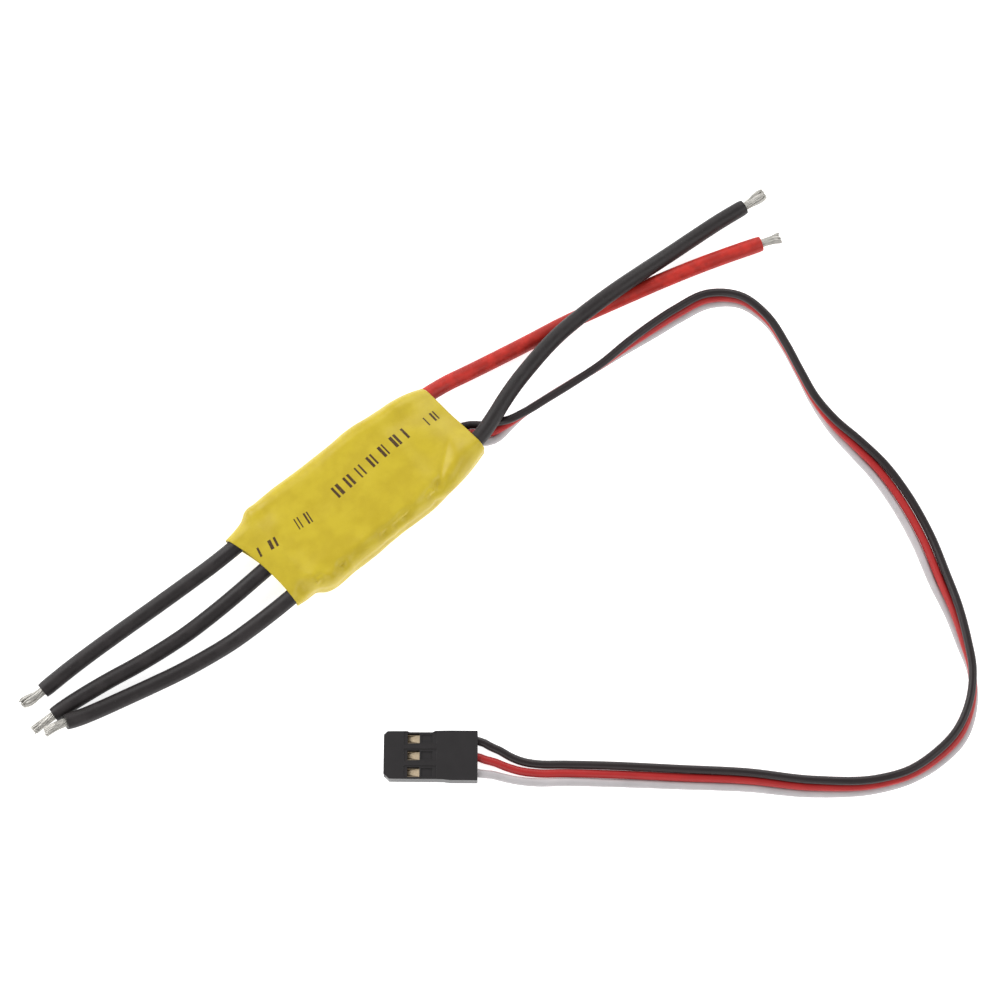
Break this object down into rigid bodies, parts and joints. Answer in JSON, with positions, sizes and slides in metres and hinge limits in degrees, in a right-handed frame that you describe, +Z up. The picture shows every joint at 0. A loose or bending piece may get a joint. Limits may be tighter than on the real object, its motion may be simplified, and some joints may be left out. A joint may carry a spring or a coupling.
{
  "type": "electronic speed controller",
  "caption": "Flat heat-shrunk brushless-motor speed controller with motor leads at one end, battery leads and a servo lead with its plug at the other.",
  "frame": {"origin": "under the middle of the heat-shrink sleeve, on the surface that it lies on", "axes": "+X along the sleeve towards the battery leads, +Y across it towards the positive battery lead, +Z up through its thickness"},
  "size_m": [0.1414, 0.0963, 0.0074],
  "materials": {
    "sleeve_film": "satin yellow heat-shrink film",
    "board_laminate": "green glass-epoxy board",
    "aluminium_plate": "rolled and cut aluminium",
    "thermal_gum": "soft grey gum",
    "moulded_epoxy": "moulded black epoxy",
    "ceramic_body": "fired brown ceramic",
    "tantalum_case": "moulded ochre epoxy",
    "resonator_can": "plain drawn metal",
    "resistor_body": "black coated ceramic",
    "solder": "bright solder",
    "black_silicone": "satin black silicone",
    "red_silicone": "satin red silicone",
    "tinned_strands": "tinned copper strands",
    "black_vinyl": "satin black vinyl",
    "red_vinyl": "satin red vinyl",
    "white_vinyl": "satin white vinyl",
    "plug_nylon": "moulded black nylon",
    "gilt_contact": "gold-flashed brass"
  },
  "bodies": {
    "root": {"heat_shrink_sleeve": "sleeve_film", "circuit_board": "board_laminate", "heat_spreader": "aluminium_plate", "thermal_pad": "thermal_gum", "power_mosfet_1": "moulded_epoxy", "power_mosfet_2": "moulded_epoxy", "power_mosfet_3": "moulded_epoxy", "power_mosfet_4": "moulded_epoxy", "power_mosfet_5": "moulded_epoxy", "power_mosfet_6": "moulded_epoxy", "microcontroller": "moulded_epoxy", "gate_driver_a": "moulded_epoxy", "gate_driver_b": "moulded_epoxy", "gate_driver_c": "moulded_epoxy", "voltage_regulator_1": "moulded_epoxy", "voltage_regulator_2": "moulded_epoxy", "input_capacitor_1": "tantalum_case", "input_capacitor_2": "tantalum_case", "ceramic_capacitor_1": "ceramic_body", "ceramic_capacitor_2": "ceramic_body", "ceramic_capacitor_3": "ceramic_body", "ceramic_capacitor_4": "ceramic_body", "resonator": "resonator_can", "resistor_1": "resistor_body", "resistor_2": "resistor_body", "resistor_3": "resistor_body", "resistor_4": "resistor_body", "motor_solder_joint_a": "solder", "motor_solder_joint_b": "solder", "motor_solder_joint_c": "solder", "battery_solder_joint_positive": "solder", "battery_solder_joint_negative": "solder", "servo_solder_joint_ground": "solder", "servo_solder_joint_power": "solder", "servo_solder_joint_signal": "solder", "motor_lead_a": "black_silicone", "motor_lead_a_tinned_end": "tinned_strands", "motor_lead_b": "black_silicone", "motor_lead_b_tinned_end": "tinned_strands", "motor_lead_c": "black_silicone", "motor_lead_c_tinned_end": "tinned_strands", "battery_lead_positive": "red_silicone", "battery_lead_positive_tinned_end": "tinned_strands", "battery_lead_negative": "black_silicone", "battery_lead_negative_tinned_end": "tinned_strands", "servo_conductor_ground": "black_vinyl", "servo_conductor_power": "red_vinyl", "servo_conductor_signal": "white_vinyl", "servo_plug_housing": "plug_nylon", "crimp_contact_ground": "gilt_contact", "crimp_contact_power": "gilt_contact", "crimp_contact_signal": "gilt_contact"}
  },
  "joints": []
}
